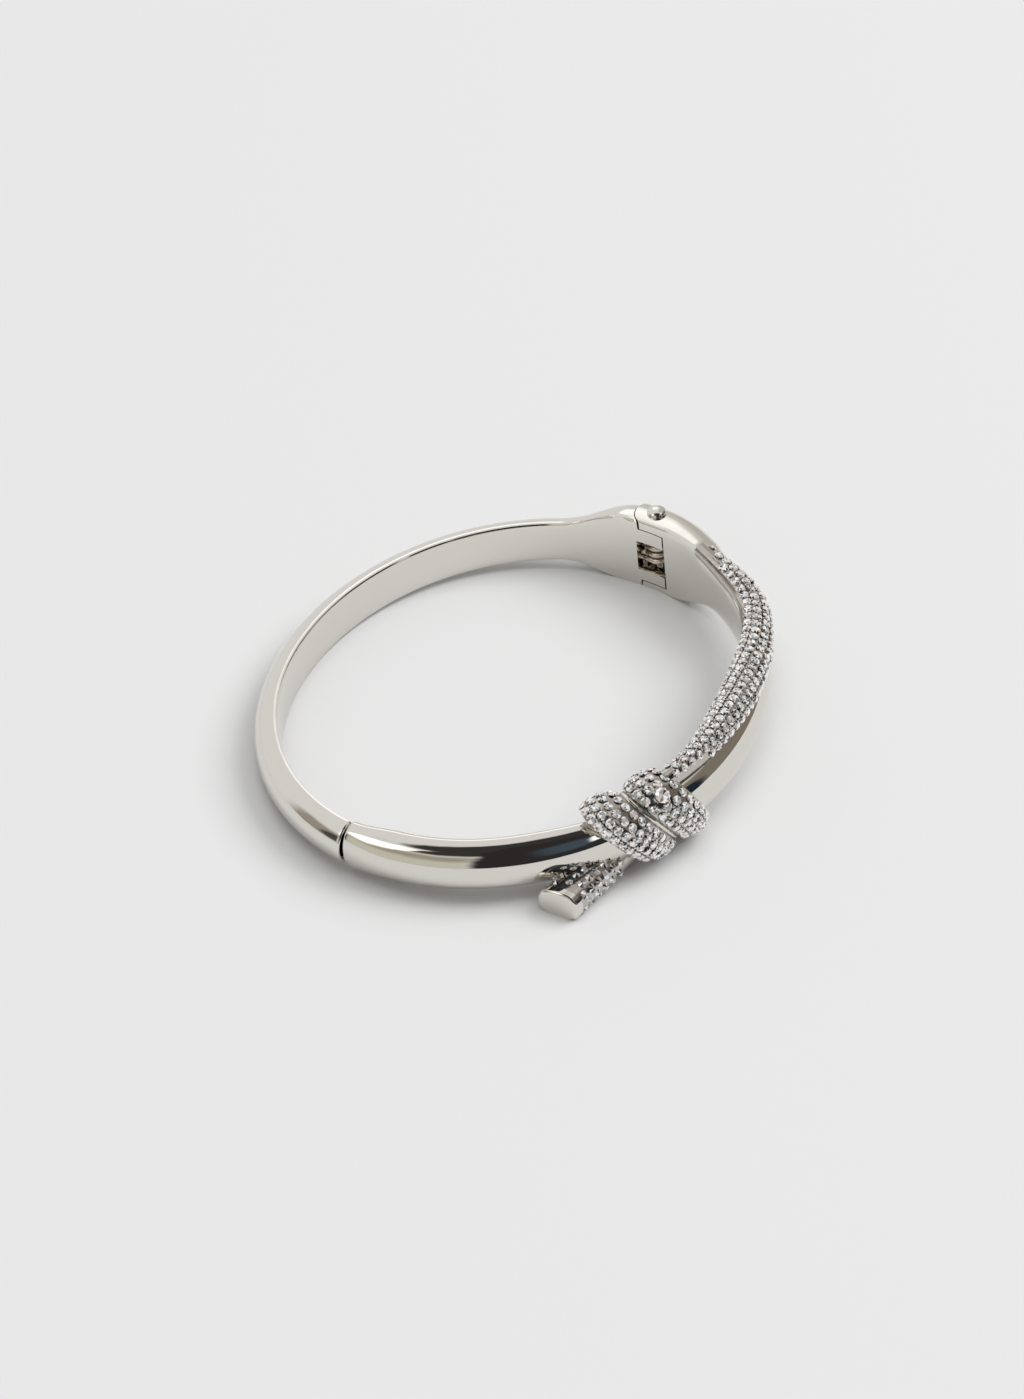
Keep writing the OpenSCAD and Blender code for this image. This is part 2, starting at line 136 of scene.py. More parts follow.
# %% polished rhodium plate
wipe_mm = 0.5


def plated(name, tint, gloss_low, gloss_high, wave_mm, wave_depth_mm, bump_strength):
    made, tree = material(name)
    place = add(tree, "ShaderNodeTexCoord").outputs["Object"]
    wipe = add(tree, "ShaderNodeTexNoise", Vector=place, Scale=1 / (wipe_mm * MM), Detail=3.0)
    gloss = add(tree, "ShaderNodeMapRange", Value=wipe.outputs["Fac"],
                To__Min=gloss_low, To__Max=gloss_high)
    wave = add(tree, "ShaderNodeTexNoise", Vector=place, Scale=1 / (wave_mm * MM), Detail=1.5)
    bump = add(tree, "ShaderNodeBump", Height=wave.outputs["Fac"], Strength=bump_strength,
               Distance=wave_depth_mm * MM)
    metal = add(tree, "ShaderNodeBsdfPrincipled", Base__Color=linear(tint), Metallic=1.0,
                Roughness=gloss.outputs["Result"], Normal=bump.outputs["Normal"])
    add(tree, "ShaderNodeOutputMaterial", Surface=metal.outputs["BSDF"])
    return made


polished = plated("rhodium_plate_felt_polished", "#E1DED7", 0.03, 0.07, 4.0, 0.03, 1.0)
# The bed is rougher from the cutting; its darker tint is painted shade for the crevices between the
# stones.
bed_metal_painted_shade = plated("rhodium_plate_bright_cut_bed_painted_shade", "#C4BFB9", 0.08, 0.22, 0.8, 0.03, 1.0)
grain_metal = plated("rhodium_plate_raised_grains", "#E6E3DE", 0.05, 0.1, 1.0, 0.01, 0.5)
print("metals:", polished.name, bed_metal_painted_shade.name, grain_metal.name)

# %% [markdown]
# ## Drawn spring wire
#
# The spring is hard-drawn steel wire. Drawing through a die leaves a satin skin that is a little
# warmer than the plating.

# %% spring wire
wire_metal = plated("spring_steel_hard_drawn", "#CDC1B6", 0.16, 0.3, 0.6, 0.006, 1.0)

# %% [markdown]
# ## Cut crystal
#
# The stones are machine-cut lead crystal with a silvered back. Each facet sends back another
# part of the room: one is white, the one beside it dark, a few are warm or cold. At this size a
# facet is a tenth of a millimetre, so these reflections are painted: each facet carries a number,
# and a ramp turns it to a tone of painted reflection, from painted shade through white to warm
# and cold painted highlights. The clear coat gives the glass skin's own reflection.

# %% cut crystal
def crystal():
    made, tree = material("crystal_silver_backed_painted_reflections")
    glint = add(tree, "ShaderNodeAttribute", _attribute_name="glint")
    tone = add(tree, "ShaderNodeValToRGB", Fac=glint.outputs["Fac"])
    stops = tone.color_ramp
    stops.interpolation = "CONSTANT"
    # Painted reflection tones: dark painted shade, greys, white, then warm and cold painted
    # highlights.
    tones = [(0.0, "#1B1A1C"), (0.1, "#5A5350"), (0.2, "#B9B3AE"), (0.3, "#F4F1EE"),
             (0.38, "#FFFFFF"), (0.88, "#FBE1D3"), (0.95, "#E0EAF6")]
    while len(stops.elements) < len(tones):
        stops.elements.new(0.5)
    for stop, (at, code) in zip(stops.elements, tones):
        stop.position, stop.color = at, linear(code)
    glass = add(tree, "ShaderNodeBsdfPrincipled", Base__Color=tone.outputs["Color"],
                Metallic=0.6, Roughness=0.05, IOR=1.57, Coat__Weight=1.0,
                Coat__Roughness=0.02, Coat__IOR=1.57)
    add(tree, "ShaderNodeOutputMaterial", Surface=glass.outputs["BSDF"])
    return made


crystal_glass = crystal()
print("crystal:", crystal_glass.name)

# %% [markdown]
# ## Curves of the band
#
# Every part of the band is described from the inner oval: an angle round it, a distance outwards
# and a height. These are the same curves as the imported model's, so the smooth skins drawn here
# lie on its faceted ones.

# %% curves
oval_a, oval_b = 29.0, 26.0
pin = Vector((31.3, 2.0, 0))
seam_deg, turn_mm = 0.33, 0.3


def ease(x, a, b):
    """0 up to a, 1 from b on, and a smooth climb between them."""
    s = min(1.0, max(0.0, (x - a) / (b - a)))
    return s * s * (3 - 2 * s)


def power(v, e):
    """A power that keeps the sign, for sections that are squarer or rounder than an oval."""
    return math.copysign(abs(v) ** e, v)


def place(t, r, z):
    """The point at the angle t, r outwards from the inner oval and z up."""
    c, s = math.cos(math.radians(t)), math.sin(math.radians(t))
    n = math.hypot(oval_b * c, oval_a * s)
    return np.array([oval_a * c + r * oval_b * c / n, oval_b * s + r * oval_a * s / n, z])


def pace(t):
    """Millimetres of the inner oval to one degree of t."""
    c, s = math.cos(math.radians(t)), math.sin(math.radians(t))
    return math.hypot(oval_a * s, oval_b * c) * math.pi / 180


# %% [markdown]
# ## Skins
#
# A swept skin starts as a flat grid. Its columns become rings along the piece and its rows run
# round each ring, so moving the grid's corners rolls it into a tube. The doubled corners at the
# join are merged, the two ends are filled, and the normals are pointed outwards. This keeps
# all-quad skins, which a mirror finish needs: a stray triangle would show as a kink.

# %% skin helper
def even(loop, n):
    """n + 1 points at even distances along a loop."""
    loop = np.asarray(loop)
    gone = np.concatenate([[0], np.cumsum(np.linalg.norm(np.diff(loop, axis=0), axis=1))])
    at = np.linspace(0, gone[-1], n + 1)
    return np.stack([np.interp(at, gone, loop[:, k]) for k in range(3)], 1)


def skin(ring, along, around, evenly=True, closed=False):
    """ring(u, f) gives the point at u, 0 to 1 along the piece, and f, an angle round it."""
    rings = []
    for i in range(along + 1):
        fine = 8 * around if evenly else around
        loop = [ring(i / along, 2 * math.pi * j / fine) for j in range(fine + 1)]
        rings.append(even(loop, around) if evenly else np.array(loop))
    bm = bmesh.new()
    bmesh.ops.create_grid(bm, x_segments=along, y_segments=around, size=0.5)
    for v in bm.verts:
        i, j = round((v.co.x + 0.5) * along), round((v.co.y + 0.5) * around)
        v.co = Vector(rings[i][j]) * MM
    bmesh.ops.remove_doubles(bm, verts=bm.verts, dist=1e-7)
    if not closed:
        bmesh.ops.holes_fill(bm, edges=[e for e in bm.edges if e.is_boundary], sides=0)
    bmesh.ops.recalc_face_normals(bm, faces=bm.faces)
    return bm


# %% piece helper
crease_deg = 38


def finish(name, bm, body, finish_material, stands_for=(), crease=crease_deg):
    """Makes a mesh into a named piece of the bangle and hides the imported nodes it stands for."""
    mesh = bpy.data.meshes.new(name)
    bm.to_mesh(mesh)
    bm.free()
    made = bpy.data.objects.new(name, mesh)
    bpy.context.collection.objects.link(made)
    mesh.materials.append(finish_material)
    mesh.shade_smooth()
    mesh.set_sharp_from_angle(angle=math.radians(crease))
    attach(made, body)
    if stands_for:
        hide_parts(*stands_for)
    print(name, len(mesh.polygons), "faces")
    return made


def apply_modifiers(made):
    """Bakes what the modifiers show into the piece's own mesh."""
    seen = made.evaluated_get(bpy.context.evaluated_depsgraph_get())
    mesh = bpy.data.meshes.new_from_object(seen)
    made.modifiers.clear()
    made.data = mesh
    mesh.shade_smooth()
    mesh.set_sharp_from_angle(angle=math.radians(crease_deg))
    return made


# %% [markdown]
# ## Cutters
#
# The hinge is milled out of the castings. Each cut is a plain solid taken away by a Boolean: a
# box for a slot, a round bar for a bore, and a box less a round bar where an ear is rounded.
# The cutters are thrown away afterwards.

# %% cutters
def box_tool(low, high):
    bm = bmesh.new()
    bmesh.ops.create_cube(bm, size=1.0)
    low, high = Vector(low), Vector(high)
    bmesh.ops.scale(bm, vec=high - low, verts=bm.verts)
    bmesh.ops.translate(bm, vec=(low + high) / 2, verts=bm.verts)
    return tool_from(bm)


def bar_tool(centre, radius, z_low, z_high):
    bm = bmesh.new()
    bmesh.ops.create_cone(bm, cap_ends=True, segments=96, radius1=radius, radius2=radius,
                          depth=z_high - z_low)
    bmesh.ops.translate(bm, vec=(centre[0], centre[1], (z_low + z_high) / 2), verts=bm.verts)
    return tool_from(bm)


def tool_from(bm):
    bmesh.ops.scale(bm, vec=(MM, MM, MM), verts=bm.verts)
    mesh = bpy.data.meshes.new("cutter")
    bm.to_mesh(mesh)
    bm.free()
    made = bpy.data.objects.new("cutter", mesh)
    bpy.context.collection.objects.link(made)
    return made


def cut(made, *tools, operation="DIFFERENCE"):
    for tool in tools:
        step = made.modifiers.new("cut", "BOOLEAN")
        step.operation, step.solver, step.object = operation, "EXACT", tool
        apply_modifiers(made)
        bpy.data.objects.remove(tool)
    return made


# %% [markdown]
# ## The rear half
#
# The rear half is a half-round bar, flat inside and domed outside, which grows into a tall leaf
# at the hinge. A lathe can't make an oval, and a curve with a bevel can't change its section, so
# it is a skin whose ring grows along the way.

# %% rear half
def section(f, inside, outside, half_h, square_in, square_out):
    """A ring of two half ovals, each with its own depth and squareness."""
    out = math.cos(f) > 0
    e = 2 / (square_out if out else square_in)
    return (outside if out else inside) * power(math.cos(f), e), half_h * power(math.sin(f), e)


def rounded_end(u, start, stop):
    """(angle, inset): the last rings of a band roll its free end over."""
    turn_deg, body = turn_mm / pace(180), 0.96  # body: the part of u before the roll
    sign = math.copysign(1, stop - start)
    if u <= body:
        return start + (stop - sign * turn_deg - start) * u / body, 0.0
    q = (u - body) / (1 - body) * math.pi / 2
    return stop - sign * turn_deg * (1 - math.sin(q)), turn_mm * (1 - math.cos(q))


edge_mm = 0.4  # how far the flat inner wall rolls over at its edges


def rear_ring(u, f):
    t, inset = rounded_end(u, -3, 180 - seam_deg)
    height = 2.8 + 2.3 * (1 - ease(t, 11, 29))
    g = 1 - ease(t, 4, 24)
    p = section(f, edge_mm, 3 + 1.7 * g - inset - edge_mm, height - inset, 6, 2 + 2.6 * g)
    return place(t, edge_mm + p[0], p[1])


rear = finish("rear_half_polished", skin(rear_ring, 220, 88), "rear", polished,
              ["rear_half"])

# %% [markdown]
# The rear leaf ends in one thick finger between the front half's two ears. The cuts make room
# for the ears above and below, round the finger, open the window for the spring and bore the
# hole for the pin.

# %% hinge cuts of the rear half
ear_top, ear_low = 4.0, -4.1
finger_top, finger_low = 3.88, -3.98
window_top, window_low = 1.98, -2.38
coil_r, wire_r, coil_pitch, coil_turns, coil_clear = 1.25, 0.38, 0.95, 3, 0.15
ear_room_r, finger_r, bore_r, ear_r = 2.75, 2.25, 0.85, 2.6
finger_wall = 2.3
leaf_from, leaf_to = (20, -12), (42, 12)  # x and y of the boxes that mill the leaf
window_r = coil_r + wire_r + coil_clear
window_y = pin.y + 0.8 * window_r
coil_low = window_top - coil_clear - wire_r - coil_turns * coil_pitch
for z_low, z_high in ((finger_top, 9), (-9, finger_low)):
    cut(rear, box_tool((*leaf_from, z_low), (leaf_to[0], pin.y, z_high)),
        bar_tool(pin, ear_room_r, z_low, z_high))
outside_finger = box_tool((*leaf_from, finger_low - 0.5), (leaf_to[0], pin.y, finger_top + 0.5))
cut(outside_finger, bar_tool(pin, finger_r, -9, 9),
    box_tool((10, pin.y - finger_wall, -9), (pin.x, leaf_to[1], 9)))
cut(rear, outside_finger,
    box_tool((*leaf_from, window_low), (leaf_to[0], window_y, window_top)),
    bar_tool(pin, window_r, window_low, window_top), bar_tool(pin, bore_r, -9, 9))
print("rear half after milling:", len(rear.data.polygons), "faces")

# %% [markdown]
# ## The front half
#
# The front half is a thick oval tube from the seam to the knot, pressed a little inwards under
# the knot, and it flattens into the second leaf at the hinge. It is another skin, with its own
# curves for top, bottom, depth and squareness.

# %% front half
def front_ring(u, f):
    t, inset = rounded_end(u, 13, -(180 - seam_deg))
    top = 3.15 + 2.05 * (1 - ease(-t, 13, 40))
    low = -3.15 - 1.95 * (1 - ease(-t, 2, 17))
    belly = 0.8 * ease(-t, 108, 135) * (1 - ease(-t, 167, 180))
    thick = 3.2 + belly + 1.5 * (1 - ease(-t, -2, 27))
    top -= 0.5 * ease(-t, 12, 16.5) * (1 - ease(-t, 20, 38))
    inside = max(edge_mm, 1.0 * ease(-t, 6, 20))
    pressed = -0.5 * ease(-t, 100, 140) - belly
    square = 2.2 + 2.6 * (1 - ease(-t, -4, 26))
    p = section(f, inside - inset, thick - inside - inset, (top - low) / 2 - inset,
                6 - 3.2 * ease(-t, 6, 20), square)
    return place(t, inside + pressed + p[0], (top + low) / 2 + p[1])


front = finish("front_half_polished", skin(front_ring, 280, 96), "front", polished,
               ["front_band"])
beyond_ear = box_tool((10, pin.y, -12), (50, 20, 12))
cut(beyond_ear, bar_tool(pin, ear_r, -13, 13))
cut(front, box_tool((10, -0.5, ear_low), (50, 30, ear_top)), beyond_ear)
print("front half after milling:", len(front.data.polygons), "faces")

# %% [markdown]
# ## Pin and spring
#
# The pin is turned on a lathe: a bar with a low pan head. A profile of edges is spun round its
# axis. The spring is one wire: a leg, three turns and a leg, so its skin follows the wire.

# %% hinge pin
def turned(profile, steps):
    """Spins a profile of (radius, height) points, in mm, round the pin's axis."""
    bm = bmesh.new()
    spots = [bm.verts.new((pin.x * MM + r * MM, pin.y * MM, z * MM)) for r, z in profile]
    edges = [bm.edges.new(pair) for pair in zip(spots, spots[1:])]
    bmesh.ops.spin(bm, geom=spots + edges, cent=pin * MM, axis=(0, 0, 1), angle=2 * math.pi,
                   steps=steps, use_merge=True, use_duplicate=False)
    bmesh.ops.remove_doubles(bm, verts=bm.verts, dist=1e-7)
    bmesh.ops.recalc_face_normals(bm, faces=bm.faces)
    return bm


pin_r, pin_foot = 0.8, -5.1
head_r, head_h, ear_face = 1.17, 0.6, 5.2
head = [(head_r * power(math.cos(g), 0.7), ear_face + head_h * power(math.sin(g), 0.8))
        for g in np.linspace(0, math.pi / 2, 15)]
stem = [(0, pin_foot), (pin_r, pin_foot), (pin_r, ear_face)]
finish("pin_turned", turned(stem + head, 48), "front", polished,
       ["hinge_pin"])

# %% hinge spring
leg_out, leg_back = 1.2, -3.7  # how far the two legs reach past the window and the pin


def spring_ring(u, q):
    legs, turns = 0.08, 1 - 0.16  # the shares of u that a leg and the turns take
    if u < legs:
        f, ahead, z = 180, (window_y - pin.y + leg_out) * (1 - u / legs), coil_low
    elif u > 1 - legs:
        f, ahead, z = 180, leg_back * (u - 1 + legs) / legs, coil_low + coil_turns * coil_pitch
    else:
        s = (u - legs) / turns * coil_turns
        f, ahead, z = 180 + 360 * s, 0, coil_low + s * coil_pitch
    r = coil_r + wire_r * math.cos(q)
    a = math.radians(f)
    return np.array([pin.x + r * math.cos(a), pin.y + r * math.sin(a) + ahead,
                     z + wire_r * math.sin(q)])


finish("spring_wound", skin(spring_ring, 200, 14, evenly=False), "front", wire_metal,
       ["hinge_spring"])

# %% [markdown]
# ## The stone-set strand
#
# The strand is a slim cast tongue that lies on the front half, starts at the leaf and runs into
# the knot. Its bed is cut bright between the stones, and its darker tint is painted shade for
# the crevices between them.

# %% strand
def strand_ring(u, f):
    t = 14 + 87 * u
    grown = 0.6 + 0.4 * ease(t, 13, 32)
    r = 0.55 + 2.0 * (1 - ease(t, 25, 66)) - 1.8 * (1 - ease(t, 14, 36)) + 0.3 * ease(t, 76, 96)
    z = 2.4 + 1.5 * ease(t, 38, 80) + 2.5 * (1 - ease(t, 12, 36))
    w = 2.0 * (0.6 + 0.4 * ease(t, 13, 30)) - 0.85 * ease(t, 66, 100)
    lean = math.radians(38 + 40 * ease(t, 35, 75))
    a, b = 1.6 * math.cos(f) * grown, w * math.sin(f)
    return place(-t, r + a * math.cos(lean) - b * math.sin(lean),
                 z + a * math.sin(lean) + b * math.cos(lean))


finish("strand_bed", skin(strand_ring, 150, 40), "front", bed_metal_painted_shade,
       ["pave_strand"])

# %% [markdown]
# ## The knot
#
# Two broad wraps go round the tube, each a domed strip with a thin polished rim on both edges,
# and a narrow saddle shows between them. A wrap is a closed skin: its ring is the strip's
# section, and the rings run once round the tube.

# %% knot
right_t, left_t, wrap_w = 104.5, 116.5, 2.75
saddle_t = (right_t + left_t) / 2
wall_mm, dome_mm = 0.55, 0.85
rim_r, rim_z, mid_r, mid_z = 3.15, 4.4, 0.65, 0.25


def wrap_point(t, f, s, h):
    """f is the angle round the tube, s the distance across the strip and h the height on it."""
    n = np.array([math.cos(f) / rim_r, math.sin(f) / rim_z])
    n /= np.linalg.norm(n)
    z = mid_z + rim_z * math.sin(f) + h * n[1]
    r = mid_r + rim_r * math.cos(f) + h * n[0]
    lean = 1.15 + 0.02 * (t - s / pace(t) - saddle_t)
    return place(-t + s / pace(t) + lean * (mid_z + rim_z - z), r, z)


def wrap(t, half_w, rise, rim):
    def ring(u, q):
        s = half_w * power(math.cos(q), 0.4)
        h = -wall_mm + wall_mm * power(math.sin(q), 0.4)
        if math.sin(q) > 0:
            h += dome_mm * rise * (1 - (s / half_w) ** 2)
            h += rim * math.exp(-((abs(s) - half_w + 0.2) / 0.12) ** 2)
        return wrap_point(t, 2 * math.pi * u, s, h)
    return skin(ring, 160, 64, closed=True)


finish("right_wrap_bed", wrap(right_t, wrap_w, 1, 0.1), "front", bed_metal_painted_shade,
       ["right_wrap"])
finish("left_wrap_bed", wrap(left_t, wrap_w, 1, 0.1), "front", bed_metal_painted_shade,
       ["left_wrap"])
saddle_w = (left_t - right_t) / 2 * pace(saddle_t) - wrap_w + 0.15
finish("saddle_polished", wrap(saddle_t, saddle_w, 0.2, 0), "front", polished,
       ["knot_saddle"])

# %% [markdown]
# ## The tail
#
# The strand's loose end leaves the knot low down and ends in a polished cap, cut off at a slant.

# %% tail
def spot(t, r, z):
    return Vector(place(t, r, z))


tail_half_w, tail_half_h, tail_inset, tail_cut = 2.55, 1.95, 0.15, 11
tail_from = spot(-right_t - 7.5, -0.2, -5.1 + tail_half_h + 0.25)
tail_to = spot(-right_t - 27, 5.4, -3.15)
tail_len = (tail_to - tail_from).length
tail_ahead = (tail_to - tail_from) / tail_len
tail_out = Vector((-tail_ahead.y, tail_ahead.x, 0)).normalized()
cap_len, cap_turn = 1.0, 0.35


def tail_point(x, f, inset, cut_deg):
    w = (tail_half_w - inset) * power(math.cos(f), 0.8)
    h = (tail_half_h - inset) * power(math.sin(f), 0.8)
    p = tail_from + tail_ahead * (x - w * math.tan(math.radians(cut_deg))) + tail_out * w
    return np.array(p + Vector((0, 0, h)))


def tail_ring(u, f):
    return tail_point(u * (tail_len - cap_len), f, tail_inset, tail_cut * ease(u, 0, 1))


def cap_ring(u, f):
    if u < 0.6:
        return tail_point(tail_len - cap_len + (cap_len - cap_turn) * u / 0.6, f, 0, tail_cut)
    q = (u - 0.6) / 0.4 * math.pi / 2
    return tail_point(tail_len - cap_turn * (1 - math.sin(q)), f, cap_turn * (1 - math.cos(q)),
                      tail_cut)


finish("tail_bed", skin(tail_ring, 40, 40), "front", bed_metal_painted_shade,
       ["tail_strand"])
finish("tail_cap_polished", skin(cap_ring, 20, 56), "front", polished,
       ["tail_cap"])

# %% [markdown]
# ## Stones
#
# A round stone has a flat table, a ring of crown facets, a thin girdle and a pointed back. One
# pattern stone is spun from a profile of four points. Its table ring is turned by half a step,
# so that the crown breaks into triangles, and the table is poked into a shallow star, which
# stands for the back facets seen through it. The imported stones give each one's place, tilt and
# size: a node's stones are read apart, and a plane fitted to each gives its axis.

# %% pattern stone
def pattern_stone():
    bm = bmesh.new()
    profile = [(0, -0.36), (0.5, -0.02), (0.5, 0.02), (0.33, 0.16)]
    spots = [bm.verts.new((r, 0, z)) for r, z in profile]
    edges = [bm.edges.new(pair) for pair in zip(spots, spots[1:])]
    bmesh.ops.spin(bm, geom=spots + edges, cent=(0, 0, 0), axis=(0, 0, 1), angle=2 * math.pi,
                   steps=10, use_merge=True, use_duplicate=False)
    bmesh.ops.remove_doubles(bm, verts=bm.verts, dist=1e-4)
    table = [v for v in bm.verts if v.co.z > 0.1]
    bmesh.ops.rotate(bm, verts=table, cent=(0, 0, 0), matrix=Matrix.Rotation(math.pi / 10, 3, "Z"))
    crown = [f for f in bm.faces if any(v.co.z > 0.1 for v in f.verts)]
    bmesh.ops.triangulate(bm, faces=crown)
    top = bmesh.ops.holes_fill(bm, edges=[e for e in bm.edges if e.is_boundary], sides=0)
    star = bmesh.ops.poke(bm, faces=top["faces"])
    bmesh.ops.translate(bm, vec=(0, 0, -0.07), verts=star["verts"])
    bmesh.ops.recalc_face_normals(bm, faces=bm.faces)
    mesh = bpy.data.meshes.new("pattern_stone")
    bm.to_mesh(mesh)
    bm.free()
    return mesh


stone_pattern = pattern_stone()
# Lowest painted reflection of each facet: the table and its star are painted as sending light
# back up; crown facets may be painted dark, and the girdle more often is.
lowest_painted_reflection = [0.1 if f.center.z > 0.1 else (0.0 if f.center.z > 0.03 else -0.2)
           for f in stone_pattern.polygons]
print("pattern stone:", len(stone_pattern.polygons), "facets")

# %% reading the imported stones
def read_stones(node):
    """[(girdle middle, axis, diameter), ...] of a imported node, in metres."""
    bm = bmesh.new()
    bm.from_mesh(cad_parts[node].data)
    bmesh.ops.remove_doubles(bm, verts=bm.verts, dist=1e-6)
    bm.verts.ensure_lookup_table()
    seen, found = set(), []
    for start in bm.verts:
        if start.index in seen:
            continue
        group, todo = [], [start]
        seen.add(start.index)
        while todo:
            v = todo.pop()
            group.append(v.co[:])
            for e in v.link_edges:
                o = e.other_vert(v)
                if o.index not in seen:
                    seen.add(o.index)
                    todo.append(o)
        pts = np.array(group)
        middle = pts.mean(0)
        axis = np.linalg.svd(pts - middle, full_matrices=False)[2][2]
        depth = (pts - middle) @ axis
        if abs(depth.max()) > abs(depth.min()):
            axis, depth = -axis, -depth
        flat = pts - middle - np.outer(depth, axis)
        radius = np.linalg.norm(flat, axis=1).max()
        girdle = np.linalg.norm(flat, axis=1) > 0.9 * radius
        found.append((pts[girdle].mean(0), axis, 2 * radius))
    bm.free()
    return found


# %% setting the stones
rng = np.random.default_rng(7)


def copies(bm, mesh, matrix):
    """Adds a copy of a mesh to bm, moved by matrix, and returns its new faces."""
    verts, faces = len(bm.verts), len(bm.faces)
    bm.from_mesh(mesh)
    bm.verts.ensure_lookup_table()
    bm.faces.ensure_lookup_table()
    bmesh.ops.transform(bm, matrix=matrix, verts=bm.verts[verts:])
    return bm.faces[faces:]


def set_stones(name, node):
    """Puts a pattern stone on each of a node's stones, turned by chance about its axis."""
    stones = read_stones(node)
    bm = bmesh.new()
    glint = bm.faces.layers.float.new("glint")
    for middle, axis, width in stones:
        turn = Vector(axis).to_track_quat("Z", "Y").to_matrix().to_4x4()
        spin = Matrix.Rotation(rng.uniform(0, 2 * math.pi), 4, "Z")
        matrix = Matrix.Translation(middle) @ turn @ spin @ Matrix.Scale(width, 4)
        for face, low in zip(copies(bm, stone_pattern, matrix), lowest_painted_reflection):
            # Each facet gets a chance tone of painted reflection, no lower than its pattern facet's
            # lowest.
            face[glint] = rng.uniform(low, 1)
    made = finish(name, bm, "front", crystal_glass, [node], crease=3)
    made.data.shade_flat()
    return stones


groups = {"strand": [], "right_wrap": [], "left_wrap": [], "tail": []}
for node in sorted(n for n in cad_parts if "_stones_row_" in n):
    groups[node.split("_stones")[0]] += set_stones(node.replace("stones", "crystals"), node)
groups["right_wrap"] += set_stones("accent_crystal", "accent_stone")
print({k: len(v) for k, v in groups.items()})

# %% [markdown]
# ## Grains
#
# A setter raises little grains of metal with a graver and rolls them over the stones' edges.
# There is one in every three-cornered gap, so each set of three stones that touch gets a small
# ball in its middle.

# %% grains
grain_r, grain_up = 0.19, 0.05


def set_grains(name, stones):
    ball = bmesh.new()
    bmesh.ops.create_uvsphere(ball, u_segments=8, v_segments=5, radius=grain_r * MM)
    pattern = bpy.data.meshes.new("grain")
    ball.to_mesh(pattern)
    ball.free()
    at, axis, width = (np.array([s[k] for s in stones]) for k in range(3))
    gap = np.linalg.norm(at[:, None] - at[None], axis=2)
    near = (gap < 0.66 * (width[:, None] + width[None])) & (gap > 0)
    bm = bmesh.new()
    for i in range(len(stones)):
        for j in np.flatnonzero(near[i, i + 1:]) + i + 1:
            for k in np.flatnonzero(near[i, j + 1:] & near[j, j + 1:]) + j + 1:
                trio = [i, j, k]
                out = axis[trio].mean(0)
                out /= np.linalg.norm(out)
                copies(bm, pattern, Matrix.Translation(at[trio].mean(0) + out * grain_up * MM))
    finish(name, bm, "front", grain_metal, crease=180)


for group, stones in groups.items():
    set_grains(group + "_grains", stones)

# %% [markdown]
# ## Floor, sky and lamps
#
# The bangle lies on a pale table. It rests on the hinge leaf, on the knot and on the far side of
# the rear half, so the table is a plane through those three points. An even pale sky lights
# everything, and one broad soft lamp on the right gives the shadows their side.

# %% floor
def plane_through(a, b, c):
    a, b, c = (Vector(p) for p in (a, b, c))
    n = (b - a).cross(c - a).normalized()
    return (a, n) if n.z > 0 else (a, -n)


rest_at, rest_up = plane_through((31.5, 0, -5.12), (-11, -29, -5.3), place(138, 1.5, -2.85))
bm = bmesh.new()
bmesh.ops.create_grid(bm, x_segments=2, y_segments=2, size=3.0)
bmesh.ops.transform(bm, matrix=rest_up.to_track_quat("Z", "Y").to_matrix().to_4x4(),
                    verts=bm.verts)
bmesh.ops.translate(bm, vec=rest_up * rest_up.dot(rest_at) * MM, verts=bm.verts)
floor_mesh = bpy.data.meshes.new("table_top")
bm.to_mesh(floor_mesh)
bm.free()
floor = bpy.data.objects.new("table_top", floor_mesh)
bpy.context.collection.objects.link(floor)
paper, tree = material("card_stock_matt_white")
sheet = add(tree, "ShaderNodeBsdfPrincipled", Base__Color=linear("#E9E9E9"), Roughness=0.9)
sheet.inputs["Specular IOR Level"].default_value = 0.1
add(tree, "ShaderNodeOutputMaterial", Surface=sheet.outputs["BSDF"])
floor_mesh.materials.append(paper)
print("table tilt, degrees:", round(math.degrees(rest_up.angle(Vector((0, 0, 1)))), 2))

# %% [markdown]
# A mirror shows the room, so the room matters more here than the lamps do. It is a pale room
# with a dark ceiling, a dark camera side and a tan wall to the left of it. Each part is a soft
# window in azimuth and height, laid over the last one. Only reflections see it: the table is
# lit by an even pale sky, so that it stays plain.

# %% sky
scene = bpy.context.scene
scene.view_settings.view_transform = "Standard"
sky = bpy.data.worlds.new("studio_room")
scene.world = sky
sky.use_nodes = True
room = sky.node_tree
room.nodes.clear()
way = add(room, "ShaderNodeTexCoord").outputs["Generated"]
drift = add(room, "ShaderNodeTexNoise", Vector=way, Scale=3.0, Detail=3.0)
centred = add(room, "ShaderNodeVectorMath", _operation="SUBTRACT")
room.links.new(drift.outputs["Color"], centred.inputs[0])
centred.inputs[1].default_value = (0.5, 0.5, 0.5)
small = add(room, "ShaderNodeVectorMath", _operation="SCALE", Scale=0.16)
room.links.new(centred.outputs[0], small.inputs[0])
bent = add(room, "ShaderNodeVectorMath", _operation="ADD")
room.links.new(way, bent.inputs[0])
room.links.new(small.outputs[0], bent.inputs[1])
parts = add(room, "ShaderNodeSeparateXYZ", Vector=bent.outputs[0])


def sum_node(operation, a, b=0.0):
    node = add(room, "ShaderNodeMath", _operation=operation)
    for socket, value in zip(node.inputs, (a, b)):
        if isinstance(value, float):
            socket.default_value = value
        else:
            room.links.new(value, socket)
    return node.outputs[0]


